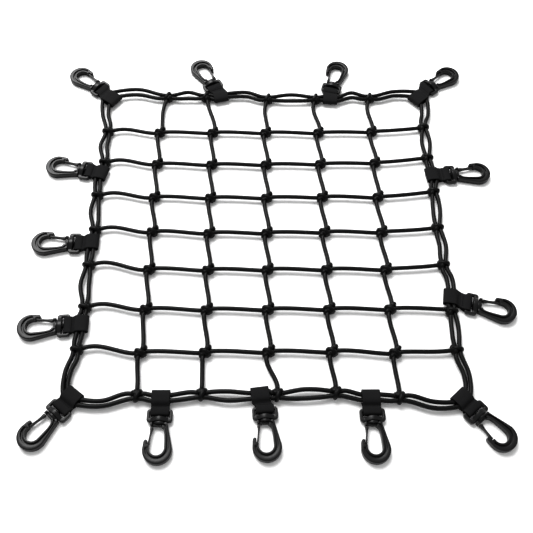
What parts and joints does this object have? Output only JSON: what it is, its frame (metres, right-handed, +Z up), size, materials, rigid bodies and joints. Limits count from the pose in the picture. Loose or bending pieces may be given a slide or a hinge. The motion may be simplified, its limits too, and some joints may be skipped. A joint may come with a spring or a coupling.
{
  "type": "bungee cargo net",
  "caption": "Flat square cargo net of knotted black elastic cord, with webbing straps round its doubled border that hold moulded swivel snap hooks.",
  "frame": {"origin": "on the floor under the middle knot of the net as it lies flat", "axes": "+X along the net's crosswise cords to the right, +Y along its lengthwise cords away from the camera, +Z up"},
  "size_m": [0.5865, 0.5888, 0.0124],
  "materials": {
    "cord": "matt braided sheath, black",
    "webbing": "matt ribbed webbing, black",
    "plastic": "satin moulded plastic, black"
  },
  "bodies": {
    "net": {"net": "cord", "strap_near_left": "webbing", "strap_near_1": "webbing", "strap_near_2": "webbing", "strap_near_3": "webbing", "strap_near_right": "webbing", "strap_right_1": "webbing", "strap_right_2": "webbing", "strap_far_right": "webbing", "strap_far_2": "webbing", "strap_far_1": "webbing", "strap_far_left": "webbing", "strap_left_1": "webbing", "strap_left_2": "webbing", "strap_left_3": "webbing", "eye_near_left": "plastic", "eye_near_1": "plastic", "eye_near_2": "plastic", "eye_near_3": "plastic", "eye_near_right": "plastic", "eye_right_1": "plastic", "eye_right_2": "plastic", "eye_far_right": "plastic", "eye_far_2": "plastic", "eye_far_1": "plastic", "eye_far_left": "plastic", "eye_left_1": "plastic", "eye_left_2": "plastic", "eye_left_3": "plastic"},
    "hook_near_left": {"hook_near_left": "plastic"},
    "gate_near_left": {"gate_near_left": "plastic"},
    "hook_near_1": {"hook_near_1": "plastic"},
    "gate_near_1": {"gate_near_1": "plastic"},
    "hook_near_2": {"hook_near_2": "plastic"},
    "gate_near_2": {"gate_near_2": "plastic"},
    "hook_near_3": {"hook_near_3": "plastic"},
    "gate_near_3": {"gate_near_3": "plastic"},
    "hook_near_right": {"hook_near_right": "plastic"},
    "gate_near_right": {"gate_near_right": "plastic"},
    "hook_right_1": {"hook_right_1": "plastic"},
    "gate_right_1": {"gate_right_1": "plastic"},
    "hook_right_2": {"hook_right_2": "plastic"},
    "gate_right_2": {"gate_right_2": "plastic"},
    "hook_far_right": {"hook_far_right": "plastic"},
    "gate_far_right": {"gate_far_right": "plastic"},
    "hook_far_2": {"hook_far_2": "plastic"},
    "gate_far_2": {"gate_far_2": "plastic"},
    "hook_far_1": {"hook_far_1": "plastic"},
    "gate_far_1": {"gate_far_1": "plastic"},
    "hook_far_left": {"hook_far_left": "plastic"},
    "gate_far_left": {"gate_far_left": "plastic"},
    "hook_left_1": {"hook_left_1": "plastic"},
    "gate_left_1": {"gate_left_1": "plastic"},
    "hook_left_2": {"hook_left_2": "plastic"},
    "gate_left_2": {"gate_left_2": "plastic"},
    "hook_left_3": {"hook_left_3": "plastic"},
    "gate_left_3": {"gate_left_3": "plastic"}
  },
  "joints": [
    {"name": "swivel_near_left", "type": "hinge", "parent": "net", "child": "hook_near_left", "pos_m": [-0.23397, -0.23604, 0.004], "axis": [-0.6561, -0.7547, 0], "continuous": true},
    {"name": "swivel_near_1", "type": "hinge", "parent": "net", "child": "hook_near_1", "pos_m": [-0.11857, -0.2447, 0.004], "axis": [-0.0087, -1, 0], "continuous": true},
    {"name": "swivel_near_2", "type": "hinge", "parent": "net", "child": "hook_near_2", "pos_m": [-0.00411, -0.24257, 0.004], "axis": [0.0523, -0.9986, 0], "continuous": true},
    {"name": "swivel_near_3", "type": "hinge", "parent": "net", "child": "hook_near_3", "pos_m": [0.11233, -0.2453, 0.004], "axis": [0.0175, -0.9998, 0], "continuous": true},
    {"name": "swivel_near_right", "type": "hinge", "parent": "net", "child": "hook_near_right", "pos_m": [0.23114, -0.24035, 0.004], "axis": [0.6494, -0.7604, 0], "continuous": true},
    {"name": "swivel_right_1", "type": "hinge", "parent": "net", "child": "hook_right_1", "pos_m": [0.24985, -0.10332, 0.004], "axis": [0.9659, -0.2588, 0], "continuous": true},
    {"name": "swivel_right_2", "type": "hinge", "parent": "net", "child": "hook_right_2", "pos_m": [0.25207, 0.09189, 0.004], "axis": [0.9986, 0.0523, 0], "continuous": true},
    {"name": "swivel_far_right", "type": "hinge", "parent": "net", "child": "hook_far_right", "pos_m": [0.24207, 0.25377, 0.004], "axis": [0.809, 0.5878, 0], "continuous": true},
    {"name": "swivel_far_2", "type": "hinge", "parent": "net", "child": "hook_far_2", "pos_m": [0.0973, 0.25402, 0.004], "axis": [0.284, 0.9588, 0], "continuous": true},
    {"name": "swivel_far_1", "type": "hinge", "parent": "net", "child": "hook_far_1", "pos_m": [-0.07827, 0.25825, 0.004], "axis": [-0.4617, 0.887, 0], "continuous": true},
    {"name": "swivel_far_left", "type": "hinge", "parent": "net", "child": "hook_far_left", "pos_m": [-0.24087, 0.24993, 0.004], "axis": [-0.7826, 0.6225, 0], "continuous": true},
    {"name": "swivel_left_1", "type": "hinge", "parent": "net", "child": "hook_left_1", "pos_m": [-0.24577, 0.09987, 0.004], "axis": [-0.9877, 0.1564, 0], "continuous": true},
    {"name": "swivel_left_2", "type": "hinge", "parent": "net", "child": "hook_left_2", "pos_m": [-0.246, -0.015, 0.004], "axis": [-1, 0, 0], "continuous": true},
    {"name": "swivel_left_3", "type": "hinge", "parent": "net", "child": "hook_left_3", "pos_m": [-0.24495, -0.12802, 0.004], "axis": [-0.9976, -0.0698, 0], "continuous": true},
    {"name": "gate_near_left_hinge", "type": "hinge", "parent": "hook_near_left", "child": "gate_near_left", "pos_m": [-0.24294, -0.23447, 0.004], "axis": [0, 0, 1], "range_deg": [0, 35], "stiffness_Nm_per_rad": 0.02},
    {"name": "gate_near_1_hinge", "type": "hinge", "parent": "hook_near_1", "child": "gate_near_1", "pos_m": [-0.12641, -0.24933, 0.004], "axis": [0, 0, 1], "range_deg": [0, 35], "stiffness_Nm_per_rad": 0.02},
    {"name": "gate_near_2_hinge", "type": "hinge", "parent": "hook_near_2", "child": "gate_near_2", "pos_m": [-0.01165, -0.24768, 0.004], "axis": [0, 0, 1], "range_deg": [0, 35], "stiffness_Nm_per_rad": 0.02},
    {"name": "gate_near_3_hinge", "type": "hinge", "parent": "hook_near_3", "child": "gate_near_3", "pos_m": [0.10461, -0.25013, 0.004], "axis": [0, 0, 1], "range_deg": [0, 35], "stiffness_Nm_per_rad": 0.02},
    {"name": "gate_near_right_hinge", "type": "hinge", "parent": "hook_near_right", "child": "gate_near_right", "pos_m": [0.22826, -0.24899, 0.004], "axis": [0, 0, 1], "range_deg": [0, 35], "stiffness_Nm_per_rad": 0.02},
    {"name": "gate_right_1_hinge", "type": "hinge", "parent": "hook_right_1", "child": "gate_right_1", "pos_m": [0.25641, -0.097, 0.004], "axis": [0, 0, -1], "range_deg": [0, 35], "stiffness_Nm_per_rad": 0.02},
    {"name": "gate_right_2_hinge", "type": "hinge", "parent": "hook_right_2", "child": "gate_right_2", "pos_m": [0.25636, 0.09993, 0.004], "axis": [0, 0, -1], "range_deg": [0, 35], "stiffness_Nm_per_rad": 0.02},
    {"name": "gate_far_right_hinge", "type": "hinge", "parent": "hook_far_right", "child": "gate_far_right", "pos_m": [0.24129, 0.26284, 0.004], "axis": [0, 0, -1], "range_deg": [0, 35], "stiffness_Nm_per_rad": 0.02},
    {"name": "gate_far_2_hinge", "type": "hinge", "parent": "hook_far_2", "child": "gate_far_2", "pos_m": [0.09115, 0.26074, 0.004], "axis": [0, 0, -1], "range_deg": [0, 35], "stiffness_Nm_per_rad": 0.02},
    {"name": "gate_far_1_hinge", "type": "hinge", "parent": "hook_far_1", "child": "gate_far_1", "pos_m": [-0.07352, 0.26602, 0.004], "axis": [0, 0, 1], "range_deg": [0, 35], "stiffness_Nm_per_rad": 0.02},
    {"name": "gate_far_left_hinge", "type": "hinge", "parent": "hook_far_left", "child": "gate_far_left", "pos_m": [-0.23969, 0.25896, 0.004], "axis": [0, 0, 1], "range_deg": [0, 35], "stiffness_Nm_per_rad": 0.02},
    {"name": "gate_left_1_hinge", "type": "hinge", "parent": "hook_left_1", "child": "gate_left_1", "pos_m": [-0.24919, 0.10831, 0.004], "axis": [0, 0, 1], "range_deg": [0, 35], "stiffness_Nm_per_rad": 0.02},
    {"name": "gate_left_2_hinge", "type": "hinge", "parent": "hook_left_2", "child": "gate_left_2", "pos_m": [-0.2507, -0.0072, 0.004], "axis": [0, 0, 1], "range_deg": [0, 35], "stiffness_Nm_per_rad": 0.02},
    {"name": "gate_left_3_hinge", "type": "hinge", "parent": "hook_left_3", "child": "gate_left_3", "pos_m": [-0.25019, -0.12057, 0.004], "axis": [0, 0, 1], "range_deg": [0, 35], "stiffness_Nm_per_rad": 0.02}
  ]
}
